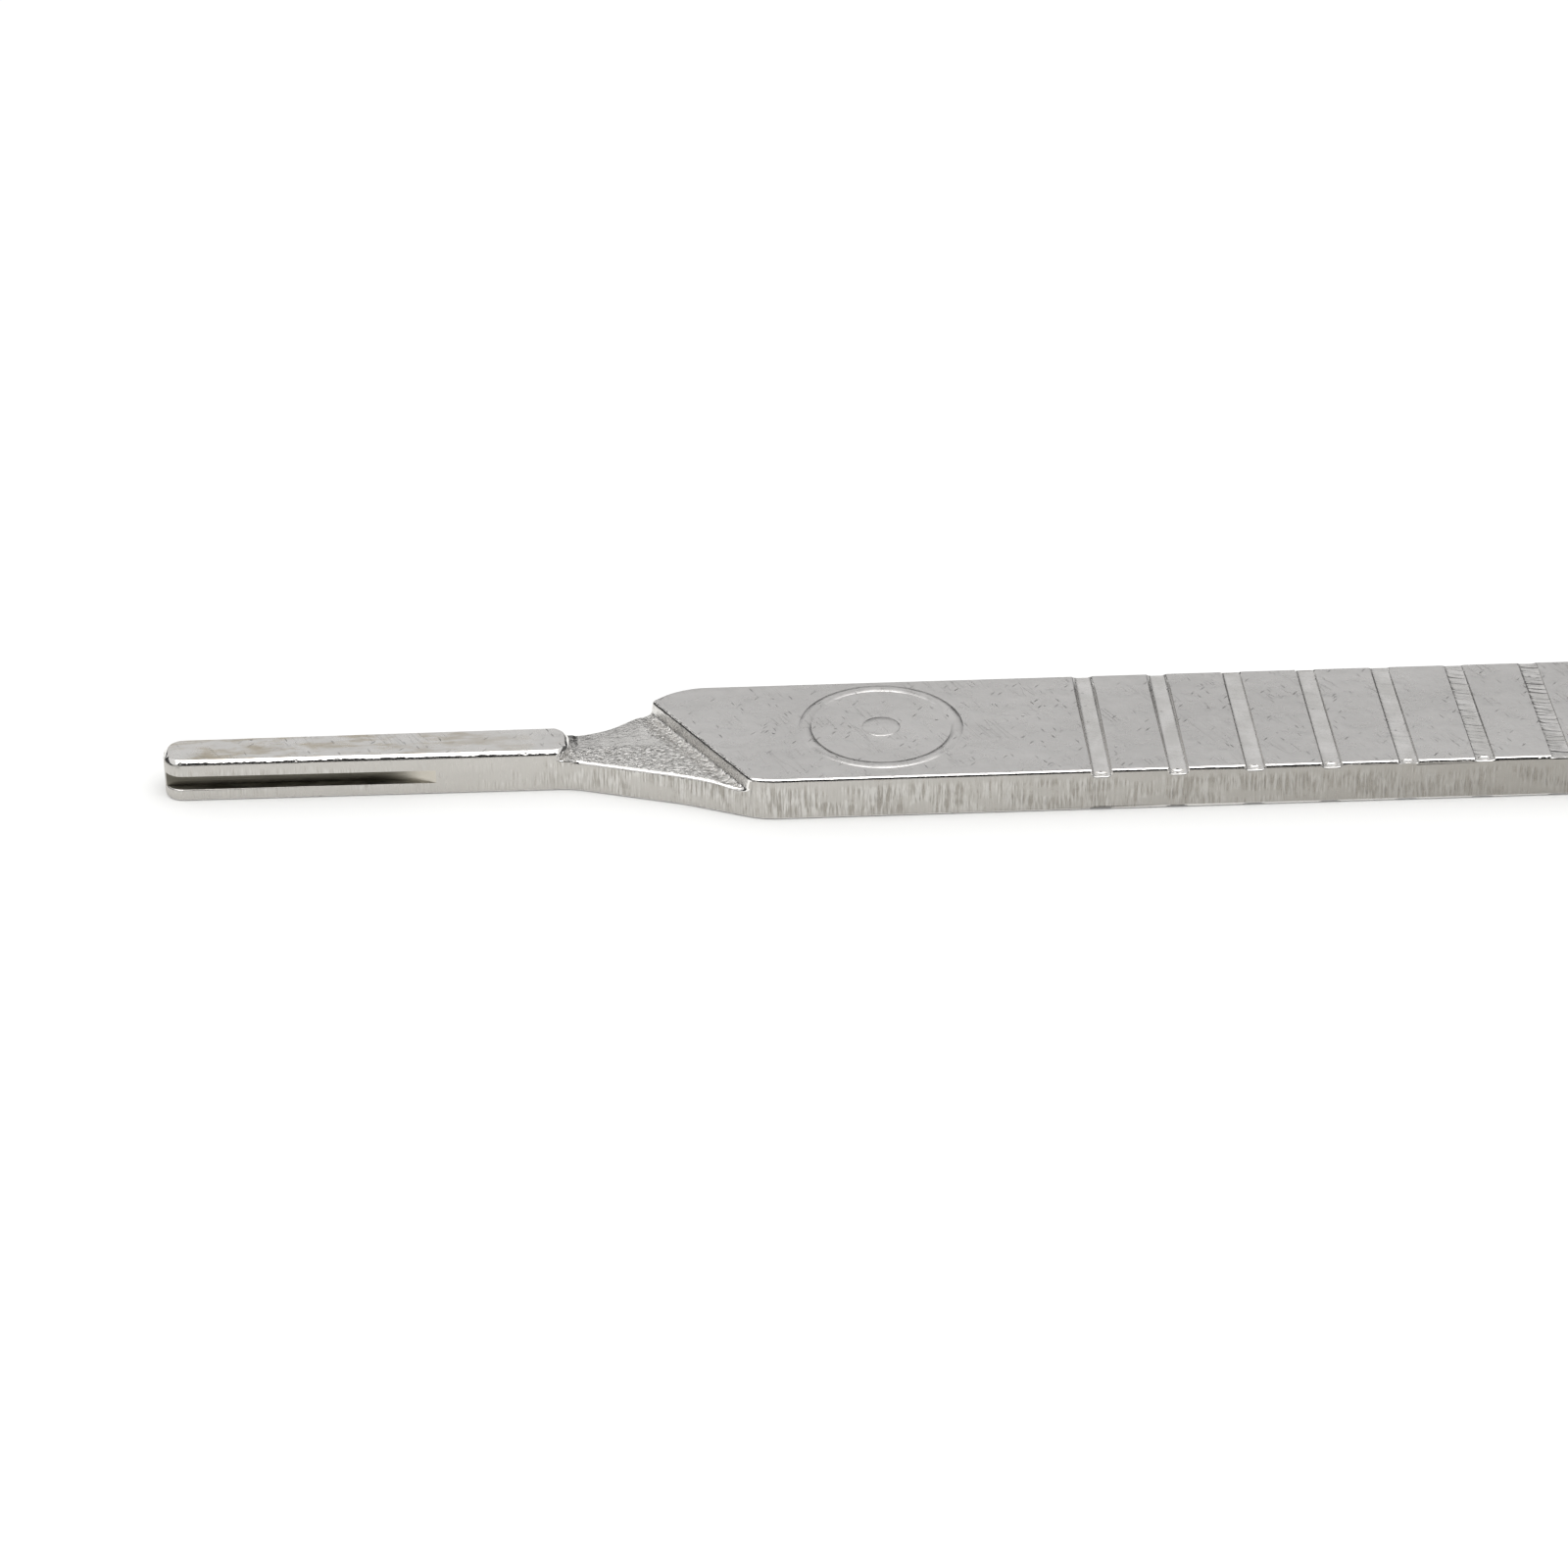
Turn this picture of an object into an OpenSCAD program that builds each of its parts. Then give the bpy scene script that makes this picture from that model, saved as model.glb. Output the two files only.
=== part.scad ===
// Scalpel handle for detachable blades: one flat steel bar, stamped, coined and slotted.
// Millimetres. +X runs from the blade fitting to the tail, +Y across, +Z up.
// The origin is under the middle of the bar, on the surface that it lies on.

/* [Bar] */
// Length from the tip of the blade fitting to the end of the tail
overall_length = 125; // [108:1:150]
// Width of the grip
body_width = 10; // [8.2:0.1:12]
// Thickness of the bar
thickness = 2.4; // [2:0.1:3]

/* [Tail] */
// Width at the start of the round end of the tail
tail_width = 7; // [5.6:0.1:8]
// Plain length between the last grip groove and the start of the taper
taper_gap = 6; // [2:0.5:8]
// Radius that blends the parallel grip into the taper
taper_radius = 40; // [10:5:60]

/* [Blade fitting] */
// Length of the boss that the blade's slot slides over
boss_length = 21; // [17:0.5:25]
// Width of the tang at its tip
tang_tip_width = 2.5; // [2.2:0.1:3.2]
// Width of the tang where the neck starts
tang_root_width = 2.7; // [2.5:0.1:3.4]
// Corner radius of the tip, seen from above
tip_radius = 1; // [0.7:0.05:1.05]
// Corner radius of the boss's rear end, seen from above
boss_rear_radius = 0.8; // [0.4:0.1:1]
// Rounding along the boss's top edges
boss_edge_radius = 0.3; // [0.15:0.05:0.5]

/* [Side slots] */
// Height of the slot in each side of the tang
slot_height = 0.75; // [0.5:0.05:0.85]
// Distance from the top of the boss down to the slot
slot_drop = 0.95; // [0.8:0.05:1]
// Depth of each slot
slot_depth = 0.6; // [0.4:0.05:0.7]
// Distance from the tip to where the slot runs out of the side
slot_length = 14.2; // [12:0.2:17]
// Radius of the slotting saw, which shapes the run-out
saw_radius = 15; // [10:1:20]

/* [Blade seat] */
// Depth of the seat below the top face
seat_drop = 0.6; // [0.4:0.05:0.8]
// Length of the seat on the centre line, from the boss's rear end to the shoulder
seat_length = 6.75; // [6:0.25:8]
// Slant of the shoulder, from square across
shoulder_angle = 30; // [22:1:33]
// Width of the relief groove at the foot of the shoulder
heel_width = 0.5; // [0.3:0.05:0.8]
// Depth of that groove below the seat
heel_depth = 0.2; // [0.1:0.05:0.3]

/* [Neck] */
// Distance from the boss's rear end to the start of the near flare (-Y)
near_flare_gap = 0.3; // [0.2:0.1:1]
// Angle of the first stretch of the near flare to the centre line
near_flare_angle = 18; // [15:1:20]
// Angle of the second stretch of the near flare
near_flare_end_angle = 24; // [21:1:28]
// Share of the near flare's width that its first stretch takes
near_flare_share = 0.52; // [0.4:0.01:0.6]
// Radius that blends the two stretches of the near flare
near_blend_radius = 10; // [5:1:15]
// Distance from the boss's rear end to the start of the far flare (+Y)
far_flare_gap = 1.7; // [1:0.1:2.5]
// Angle of the far flare to the centre line
far_flare_angle = 39; // [34:1:44]
// Radius of the hollow where each flare starts
flare_start_radius = 4; // [2:0.5:4.5]
// Radius of the corner where each flare meets the grip
flare_end_radius = 3.5; // [1:0.5:4]

/* [Grip grooves] */
// Number of grooves, the same on both faces
groove_count = 10; // [6:1:11]
// Distance between grooves
groove_pitch = 4; // [3.2:0.1:4.2]
// Distance from the shoulder, on the centre line, to the middle of the first groove
groove_gap = 20.95; // [18:0.05:23]
// Width of a groove at the face
groove_width = 1; // [0.7:0.05:1.2]
// Depth of a groove
groove_depth = 0.35; // [0.2:0.05:0.4]

/* [Ring] */
// Distance from the shoulder, on the centre line, to the middle of the ring
ring_gap = 9.85; // [9:0.05:11]
// Distance that the ring was struck off the centre line
ring_offset = 0.2; // [-0.3:0.05:0.3]
// Radius of the ring's crest
ring_radius = 4; // [2.8:0.1:4.1]
// Width of the ring at its foot
ring_width = 0.65; // [0.5:0.05:1]
// Height of the ring and of the stud inside it
ring_height = 0.1; // [0.05:0.01:0.15]
// Radius of the plain round stud in the middle of the ring
stud_radius = 1; // [0.6:0.1:1.4]

/* [Hidden] */
$fn = 96;

clear = 1;                                  // how far a cutter reaches past the face that it cuts
arc_steps = 12;                             // straight pieces in each rounded corner of the outline
tip_x = -overall_length / 2;
half_body = body_width / 2;
half_root = tang_root_width / 2;
half_tip = tang_tip_width / 2;
half_tail = tail_width / 2;
seat_z = thickness - seat_drop;
boss_rear_x = tip_x + boss_length;
shoulder_x = boss_rear_x + seat_length;
ring_x = shoulder_x + ring_gap;
first_groove_x = shoulder_x + groove_gap;
taper_x = first_groove_x + (groove_count - 1) * groove_pitch + taper_gap;
tail_x = overall_length / 2 - half_tail;    // centre of the round end

// Both flares step out from the tang to the grip, the near one in two stretches.
flare_step = half_body - half_root;
near_step = flare_step * near_flare_share;  // width that the first stretch takes
near_start_x = boss_rear_x + near_flare_gap;
near_mid_x = near_start_x + near_step / tan(near_flare_angle);
near_end_x = near_mid_x + (flare_step - near_step) / tan(near_flare_end_angle);
far_start_x = boss_rear_x + far_flare_gap;
far_end_x = far_start_x + flare_step / tan(far_flare_angle);

// Corners of the plan outline, anticlockwise: [x, y, corner radius].
outline_corners = [
    [tip_x, -half_tip, tip_radius],
    [near_start_x, -half_root, flare_start_radius],
    [near_mid_x, -half_root - near_step, near_blend_radius],
    [near_end_x, -half_body, flare_end_radius],
    [taper_x, -half_body, taper_radius],
    [tail_x, -half_tail, 0],
    [tail_x, half_tail, 0],
    [taper_x, half_body, taper_radius],
    [far_end_x, half_body, flare_end_radius],
    [far_start_x, half_root, flare_start_radius],
    [tip_x, half_tip, tip_radius]
];

// Half the tang's width at x, as its near side tapers to the tip.
function tang_side(x) = half_tip + (half_root - half_tip) * (x - tip_x) / (near_start_x - tip_x);

function unit(v) = v / norm(v);
function cross_z(a, b) = a[0] * b[1] - a[1] * b[0];

// The arc that rounds corner b between a and c, as points.
function corner_arc(a, b, c, r) =
    r == 0 ? [b] :
    let (
        u = unit(a - b),
        v = unit(c - b),
        half = acos(u * v) / 2,
        centre = b + unit(u + v) * r / sin(half),
        start = b + u * r / tan(half),
        sweep = 180 - 2 * half,
        turn = cross_z(-u, v) > 0 ? 1 : -1,
        spoke = start - centre
    )
    [for (i = [0 : arc_steps])
        let (t = turn * sweep * i / arc_steps)
        centre + [spoke[0] * cos(t) - spoke[1] * sin(t), spoke[0] * sin(t) + spoke[1] * cos(t)]];

function rounded(corners) =
    let (n = len(corners))
    [for (i = [0 : n - 1])
        let (a = corners[(i + n - 1) % n], b = corners[i], c = corners[(i + 1) % n])
        each corner_arc([a[0], a[1]], [b[0], b[1]], [c[0], c[1]], b[2])];

// The bar seen from above: tang, neck, parallel grip, taper and round end.
module plan() {
    polygon(rounded(outline_corners));
    translate([tail_x, 0]) circle(r = half_tail);
}

// Everything ahead of the shoulder and above height z, standing square to the slanted shoulder.
module ahead_of_shoulder(z, width) {
    translate([shoulder_x, 0, z])
        rotate([0, 0, shoulder_angle])
            translate([-width, -overall_length / 2, 0])
                cube([width, overall_length, thickness + clear - z]);
}

// The boss: the tang's own outline, cut off round at the rear and with rounded top edges.
module boss() {
    side = tang_side(boss_rear_x);
    rounded_bar = rounded([
        [-half_root - clear, -clear, 0],
        [half_root + clear, -clear, 0],
        [half_root + clear, thickness - boss_edge_radius, 0],
        [side, thickness - boss_edge_radius, 0],
        [side, thickness, boss_edge_radius],
        [-side, thickness, boss_edge_radius],
        [-side, thickness - boss_edge_radius, 0],
        [-half_root - clear, thickness - boss_edge_radius, 0]
    ]);
    intersection() {
        linear_extrude(thickness + clear)
            polygon(rounded([
                [tip_x - clear, -side, 0],
                [boss_rear_x, -side, boss_rear_radius],
                [boss_rear_x, side, boss_rear_radius],
                [tip_x - clear, side, 0]
            ]));
        translate([tip_x - clear, 0, 0])
            rotate([90, 0, 90])
                linear_extrude(boss_length + 2 * clear)
                    polygon(rounded_bar);
    }
}

// What is coined away for the blade seat, leaving the boss standing.
module seat_cut() {
    difference() {
        ahead_of_shoulder(seat_z, overall_length / 2);
        boss();
    }
    ahead_of_shoulder(seat_z - heel_depth, heel_width);
}

// One slot, in the near side of the tang: a saw cut that runs out to the rear.
module side_slot() {
    slot_z = thickness - slot_drop - slot_height;
    side = tang_side(tip_x + slot_length);
    run_out = sqrt(2 * saw_radius * slot_depth - slot_depth * slot_depth);
    saw_x = tip_x + slot_length - run_out;
    translate([tip_x - clear, -half_root - clear, slot_z])
        cube([saw_x - tip_x + clear, half_root + clear - side + slot_depth, slot_height]);
    translate([saw_x, -side + slot_depth - saw_radius, slot_z])
        cylinder(r = saw_radius, h = slot_height, $fn = 360);
}

// The grooves of one face, each a round-bottomed channel across the grip.
module face_grooves(face_z, way) {
    groove_radius = (groove_width * groove_width / 4 + groove_depth * groove_depth) / (2 * groove_depth);
    for (i = [0 : groove_count - 1])
        translate([first_groove_x + i * groove_pitch, 0, face_z + way * (groove_radius - groove_depth)])
            rotate([90, 0, 0])
                cylinder(r = groove_radius, h = body_width + 2 * clear, center = true);
}

// The raised ring and its plain stud, which stand where a size mark would.
module ring_mark() {
    translate([ring_x, ring_offset, thickness]) {
        rotate_extrude()
            polygon([
                [ring_radius - ring_width / 2, -ring_height],
                [ring_radius + ring_width / 2, -ring_height],
                [ring_radius + ring_width / 2, 0],
                [ring_radius, ring_height],
                [ring_radius - ring_width / 2, 0]
            ]);
        translate([0, 0, -ring_height])
            cylinder(r = stud_radius, h = 2 * ring_height);
    }
}

module handle() {
    color("silver") {
        difference() {
            linear_extrude(thickness) plan();
            seat_cut();
            side_slot();
            mirror([0, 1, 0]) side_slot();
            face_grooves(thickness, 1);
            face_grooves(0, -1);
        }
        ring_mark();
    }
}

handle();
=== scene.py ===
import math
import bmesh
import bpy
from mathutils import Matrix, Vector


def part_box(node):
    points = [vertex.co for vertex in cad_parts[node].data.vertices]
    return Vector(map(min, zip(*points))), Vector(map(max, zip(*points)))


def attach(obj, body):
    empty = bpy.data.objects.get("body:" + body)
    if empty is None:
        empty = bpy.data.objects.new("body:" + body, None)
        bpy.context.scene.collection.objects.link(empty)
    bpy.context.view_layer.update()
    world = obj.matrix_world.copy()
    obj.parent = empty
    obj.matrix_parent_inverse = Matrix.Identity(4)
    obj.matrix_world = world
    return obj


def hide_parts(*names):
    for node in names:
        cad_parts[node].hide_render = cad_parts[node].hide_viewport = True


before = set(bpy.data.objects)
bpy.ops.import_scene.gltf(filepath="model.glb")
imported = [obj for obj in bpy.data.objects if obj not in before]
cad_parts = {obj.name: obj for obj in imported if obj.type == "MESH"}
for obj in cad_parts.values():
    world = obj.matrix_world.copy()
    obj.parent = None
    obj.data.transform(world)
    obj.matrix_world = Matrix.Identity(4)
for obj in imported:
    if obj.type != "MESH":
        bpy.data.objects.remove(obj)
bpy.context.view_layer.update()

mm = 0.001
barLow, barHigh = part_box("handle")


# Finishes. Their sizes are millimetres of metal, and a stretch is measured from the middle of the bar.
smooth = {"interpolation_type": "SMOOTHSTEP"}
inColour = {"output": 2, "data_type": "RGBA"}
mottle = {"Scale": 1.0, "Detail": 3.0, "Roughness": 0.55}      # what most of the clouded patterns share


def colour(code):
    # an sRGB hex colour as the linear values that Blender wants
    values = [int(code[i:i + 2], 16) / 255 for i in (1, 3, 5)]
    linear = [v / 12.92 if v <= 0.04045 else ((v + 0.055) / 1.055) ** 2.4 for v in values]
    return (*linear, 1.0)


def addNode(tree, kind, inputs, output=0, **settings):
    # adds one node with its settings, values and links, and hands back one of its outputs
    node = tree.nodes.new("ShaderNode" + kind)
    for key, value in settings.items():
        setattr(node, key, value)
    for key, value in inputs.items() if isinstance(inputs, dict) else enumerate(inputs):
        if isinstance(value, bpy.types.NodeSocket):
            tree.links.new(value, node.inputs[key])
        else:
            node.inputs[key].default_value = value
    return node.outputs[output]


def newMaterial(name):
    material = bpy.data.materials.new(name)
    material.use_nodes = True
    tree = material.node_tree
    return material, tree, tree.nodes["Principled BSDF"]


def plate(tree, shader, tint, roughness, normal):
    # every finish of the handle is a metal, so only these three change over the surface
    shader.inputs["Metallic"].default_value = 1
    tree.links.new(tint, shader.inputs["Base Color"])
    tree.links.new(roughness, shader.inputs["Roughness"])
    tree.links.new(normal, shader.inputs["Normal"])


def position(tree, axis):
    # how far along this axis a place on the handle lies, in metres
    spot = addNode(tree, "TexCoord", [], "Object")
    return addNode(tree, "SeparateXYZ", [spot], axis)


def placeOnMetal(tree, cell, turn=0):
    # object coordinates, turned about the vertical, with one unit to each cell of the pattern
    spot = addNode(tree, "TexCoord", [], "Object")
    turned = addNode(tree, "Mapping", {"Vector": spot, "Rotation": (0, 0, math.radians(turn))})
    return addNode(tree, "Mapping", {"Vector": turned, "Scale": [1 / (mm * size) for size in cell]})


def speckles(tree, spacing, radius, share, stretch=(1, 1, 1), turn=0):
    # scattered marks, one in each cell of this spacing, kept in this share of the cells
    cells = placeOnMetal(tree, [spacing * k for k in stretch], turn)
    distance = addNode(tree, "TexVoronoi", {"Vector": cells, "Scale": 1.0}, "Distance")
    dot = addNode(tree, "MapRange", [distance, 0.0, radius / spacing, 1.0, 0.0], **smooth)
    chance = addNode(tree, "SeparateColor", [distance.node.outputs["Color"]])
    kept = addNode(tree, "Math", [chance, share], operation="LESS_THAN")
    return addNode(tree, "Math", [dot, kept], operation="MULTIPLY")


def hairlines(tree, length, width, turn, thin=0.02):
    # faint drawn-out lines: a narrow band of a stretched cloud, broken up by another one
    drawn = placeOnMetal(tree, (length, width, width), turn)
    field = addNode(tree, "TexNoise", {"Vector": drawn, "Scale": 1.0, "Detail": 1.0, "Roughness": 0.4})
    middle = addNode(tree, "Math", [field, 0.5], operation="SUBTRACT")
    away = addNode(tree, "Math", [middle], operation="ABSOLUTE")
    line = addNode(tree, "MapRange", [away, 0.0, thin, 1.0, 0.0], **smooth)
    gaps = placeOnMetal(tree, (length * 0.7, length * 0.4, length * 0.4))
    patches = addNode(tree, "TexNoise", {**mottle, "Vector": gaps, "Detail": 2.0})
    broken = addNode(tree, "MapRange", [patches, 0.52, 0.6], **smooth)
    return addNode(tree, "Math", [line, broken], operation="MULTIPLY")


# Satin nickel over a rolled and tumbled face. It looks cloudy, with small dents and hairlines. The real
# grain is too fine to show, so it is drawn at 0.08 mm.
satin = {
    "light": "#dcdad8",
    "dark": "#cdcbc9",
    "stain": "#b9ad96",                 # old oil that stays on the tang
    "stainStretch": (-38, -52),         # from the middle of the bar, where it starts and is full
    "worn": "#e8e6e3",                  # where blades have slid over the tang
    "wornStretch": (-38, -44),
    "dulled": "#8f8c88",                # inside the dents and nicks
    "sheen": (0.24, 0.36),
    "cloud": 1.3,
    "cloudDepth": 0.05,
    "drift": (9, 5, 5),
    "dents": (1.1, 0.11, 0.4),          # spacing, radius, share of the cells
    "nicks": (0.75, 0.2, 0.16),
    "nickCells": (((0.22, 1.4, 1), 38), ((0.2, 1.3, 1), -24)),
    "hairlines": (5.0, 0.5, 62),        # length, width, turn
    "markDepth": 0.028,
    "grain": 0.08,
    "grainDepth": 0.0025,
}


def satinNickel():
    material, tree, shader = newMaterial("nickelPlateSatin")
    cells = placeOnMetal(tree, (satin["cloud"],) * 3)
    cloud = addNode(tree, "TexNoise", {"Vector": cells, "Scale": 1.0, "Detail": 4.0, "Roughness": 0.6})
    cells = placeOnMetal(tree, satin["drift"])
    drift = addNode(tree, "TexNoise", {**mottle, "Vector": cells, "Detail": 2.0})
    mostly = addNode(tree, "Math", [cloud, 0.6], operation="MULTIPLY")
    partly = addNode(tree, "Math", [drift, 0.4], operation="MULTIPLY")
    tone = addNode(tree, "Math", [mostly, partly], operation="ADD")
    amount = addNode(tree, "MapRange", [tone, 0.35, 0.65], **smooth)
    dark, light = colour(satin["dark"]), colour(satin["light"])
    tint = addNode(tree, "Mix", {0: amount, 6: dark, 7: light}, **inColour)

    # dents, nicks lying two ways and faint hairlines
    marks = speckles(tree, *satin["dents"])
    for stretch, turn in satin["nickCells"]:
        nicks = speckles(tree, *satin["nicks"], stretch, turn)
        marks = addNode(tree, "Math", [marks, nicks], operation="MAXIMUM")
    faint = addNode(tree, "Math", [hairlines(tree, *satin["hairlines"]), 0.2], operation="MULTIPLY")
    marks = addNode(tree, "Math", [marks, faint], operation="MAXIMUM")

    # the tang is brighter where blades slide, and has kept some oil towards its tip
    along = position(tree, "X")
    start, full = satin["wornStretch"]
    worn = addNode(tree, "MapRange", [along, start * mm, full * mm], **smooth)
    amount = addNode(tree, "Math", [worn, 0.8], operation="MULTIPLY")
    tint = addNode(tree, "Mix", {0: amount, 6: tint, 7: colour(satin["worn"])}, **inColour)
    start, full = satin["stainStretch"]
    onTang = addNode(tree, "MapRange", [along, start * mm, full * mm], **smooth)
    pools = addNode(tree, "TexNoise", {"Vector": placeOnMetal(tree, (2.2, 0.7, 0.7)), "Scale": 1.0,
                                       "Detail": 4.0, "Roughness": 0.65})
    pooled = addNode(tree, "MapRange", [pools, 0.42, 0.7], **smooth)
    oily = addNode(tree, "Math", [onTang, pooled], operation="MULTIPLY")
    amount = addNode(tree, "Math", [oily, 0.8], operation="MULTIPLY")
    tint = addNode(tree, "Mix", {0: amount, 6: tint, 7: colour(satin["stain"])}, **inColour)
    amount = addNode(tree, "Math", [marks, 0.16], operation="MULTIPLY")
    tint = addNode(tree, "Mix", {0: amount, 6: tint, 7: colour(satin["dulled"])}, **inColour)

    gloss = addNode(tree, "MapRange", [cloud, 0.3, 0.7, *satin["sheen"]], **smooth)
    duller = addNode(tree, "Math", [marks, 0.12], operation="MULTIPLY")
    roughness = addNode(tree, "Math", [gloss, duller], operation="ADD")
    wavy = addNode(tree, "Bump", {"Height": cloud, "Distance": satin["cloudDepth"] * mm,
                                  "Strength": 1.0})
    sunk = addNode(tree, "Math", [marks, -1.0], operation="MULTIPLY")
    dented = addNode(tree, "Bump", {"Height": sunk, "Distance": satin["markDepth"] * mm,
                                    "Strength": 1.0, "Normal": wavy})
    cells = placeOnMetal(tree, (satin["grain"],) * 3)
    grain = addNode(tree, "TexNoise", {**mottle, "Vector": cells, "Detail": 2.0})
    normal = addNode(tree, "Bump", {"Height": grain, "Distance": satin["grainDepth"] * mm,
                                    "Strength": 1.0, "Normal": dented})
    plate(tree, shader, tint, roughness, normal)
    return material


# The sheared side under the same plate. It looks warmer, with upright tear marks from mid height down.
sheared = {
    "light": "#e3e1dd",
    "dark": "#a9a59e",
    "dulled": "#8f8b84",                # towards the middle of the grip
    "dulledStretch": (-50, 20),
    "sheen": (0.26, 0.4),
    "tear": (0.11, 0.11, 1.3),
    "fineTear": (0.05, 0.05, 0.6),
    "tearPatch": (2.2, 2.2, 1.2),
    "tearTop": (2.1, 1.6),              # heights between which the tears set in
    "tearFoot": (0.1, 0.7),
    "tearStretch": (-46, -34),
    "tearDepth": 0.17,
    "cloud": (3.0, 1.0, 1.0),
    "cloudDepth": 0.04,
    "grain": 0.07,
    "grainDepth": 0.003,
}


def shearedNickel():
    material, tree, shader = newMaterial("nickelPlateSheared")
    tears = {"Scale": 1.0, "Detail": 2.0, "Roughness": 0.5}
    tear = addNode(tree, "TexNoise", {**tears, "Vector": placeOnMetal(tree, sheared["tear"])})
    fine = addNode(tree, "TexNoise", {**tears, "Vector": placeOnMetal(tree, sheared["fineTear"])})

    # where the metal tore: in patches, below mid height, less at the foot, and hardly on the tang
    patches = addNode(tree, "TexNoise", {**mottle, "Vector": placeOnMetal(tree, sheared["tearPatch"])})
    torn = addNode(tree, "MapRange", [patches, 0.38, 0.56, 0.1, 1.0], **smooth)
    height = position(tree, "Z")
    along = position(tree, "X")
    limits = ((height, sheared["tearTop"], 0.15), (height, sheared["tearFoot"], 0.3),
              (along, sheared["tearStretch"], 0.25))
    for place, (start, full), least in limits:
        share = addNode(tree, "MapRange", [place, start * mm, full * mm, least, 1.0], **smooth)
        torn = addNode(tree, "Math", [torn, share], operation="MULTIPLY")

    mostly = addNode(tree, "Math", [tear, 0.7], operation="MULTIPLY")
    partly = addNode(tree, "Math", [fine, 0.3], operation="MULTIPLY")
    streak = addNode(tree, "Math", [mostly, partly], operation="ADD")
    streak = addNode(tree, "Math", [streak, 0.5], operation="SUBTRACT")
    streak = addNode(tree, "Math", [streak, torn], operation="MULTIPLY")
    amount = addNode(tree, "MapRange", [streak, -0.08, 0.08], **smooth)
    dark, light = colour(sheared["dark"]), colour(sheared["light"])
    tint = addNode(tree, "Mix", {0: amount, 6: dark, 7: light}, **inColour)
    cloud = addNode(tree, "TexNoise", {**mottle, "Vector": placeOnMetal(tree, sheared["cloud"])})
    start, full = sheared["dulledStretch"]
    duller = addNode(tree, "MapRange", [along, start * mm, full * mm, 0.0, 0.6], **smooth)
    uneven = addNode(tree, "Math", [cloud, 0.2], operation="MULTIPLY")
    amount = addNode(tree, "Math", [duller, uneven], operation="ADD")
    tint = addNode(tree, "Mix", {0: amount, 6: tint, 7: colour(sheared["dulled"])}, **inColour)

    roughness = addNode(tree, "MapRange", [tear, 0.3, 0.7, *sheared["sheen"]], **smooth)
    wavy = addNode(tree, "Bump", {"Height": cloud, "Distance": sheared["cloudDepth"] * mm,
                                  "Strength": 1.0})
    scored = addNode(tree, "Bump", {"Height": streak, "Distance": sheared["tearDepth"] * mm,
                                    "Strength": 1.0, "Normal": wavy})
    cells = placeOnMetal(tree, (sheared["grain"],) * 3)
    grain = addNode(tree, "TexNoise", {**mottle, "Vector": cells, "Detail": 2.0})
    normal = addNode(tree, "Bump", {"Height": grain, "Distance": sheared["grainDepth"] * mm,
                                    "Strength": 1.0, "Normal": scored})
    plate(tree, shader, tint, roughness, normal)
    return material


# Edges that handling has burnished: bright, with tiny nicks that break the highlight.
burnished = {
    "bright": "#efedea",
    "nicked": "#98948e",
    "roughness": 0.08,
    "nicks": (0.45, 0.14, 0.4),
    "nickDepth": 0.012,
    "wander": (0.9, 0.5, 0.5),
    "wanderDepth": 0.03,
}


def burnishedEdge():
    material, tree, shader = newMaterial("nickelPlateBurnished")
    nicks = speckles(tree, *burnished["nicks"])
    wander = addNode(tree, "TexNoise", {**mottle, "Vector": placeOnMetal(tree, burnished["wander"])})
    amount = addNode(tree, "Math", [nicks, 0.5], operation="MULTIPLY")
    bright, dark = colour(burnished["bright"]), colour(burnished["nicked"])
    tint = addNode(tree, "Mix", {0: amount, 6: bright, 7: dark}, **inColour)
    duller = addNode(tree, "Math", [nicks, 0.2], operation="MULTIPLY")
    roughness = addNode(tree, "Math", [burnished["roughness"], duller], operation="ADD")
    uneven = addNode(tree, "Bump", {"Height": wander, "Distance": burnished["wanderDepth"] * mm,
                                    "Strength": 1.0})
    sunk = addNode(tree, "Math", [nicks, -1.0], operation="MULTIPLY")
    normal = addNode(tree, "Bump", {"Height": sunk, "Distance": burnished["nickDepth"] * mm,
                                    "Strength": 1.0, "Normal": uneven})
    plate(tree, shader, tint, roughness, normal)
    return material


# The saw's slot. Plate hardly reaches it, so it stays dark, and its upright back wall is painted darker
# still as painted shade of the deep slot, while its level walls are tinted lighter as painted light
# against their shadow.
# The saw's lines run along it. They are finer on the real thing, and are drawn 0.06 mm apart to show.
sawn = {
    # the level walls, tinted lighter than the back wall as painted light against the shadow they lie in
    "light": "#c4c0b6",
    "dark": "#a39f95",
    # the upright back wall: unplated steel, painted darker still as painted shade of the deep slot
    "back": "#6b685f",
    "plate": "#d0cbc0",                 # where the saw ran out of the side
    "runOut": (0.78, 1.15),             # from the centre line, where the plate starts and is full
    "sheen": (0.3, 0.45),
    "line": (6.0, 0.06, 0.06),
    "lineDepth": 0.01,
    "stain": (1.5, 0.4, 0.4),
}


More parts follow.
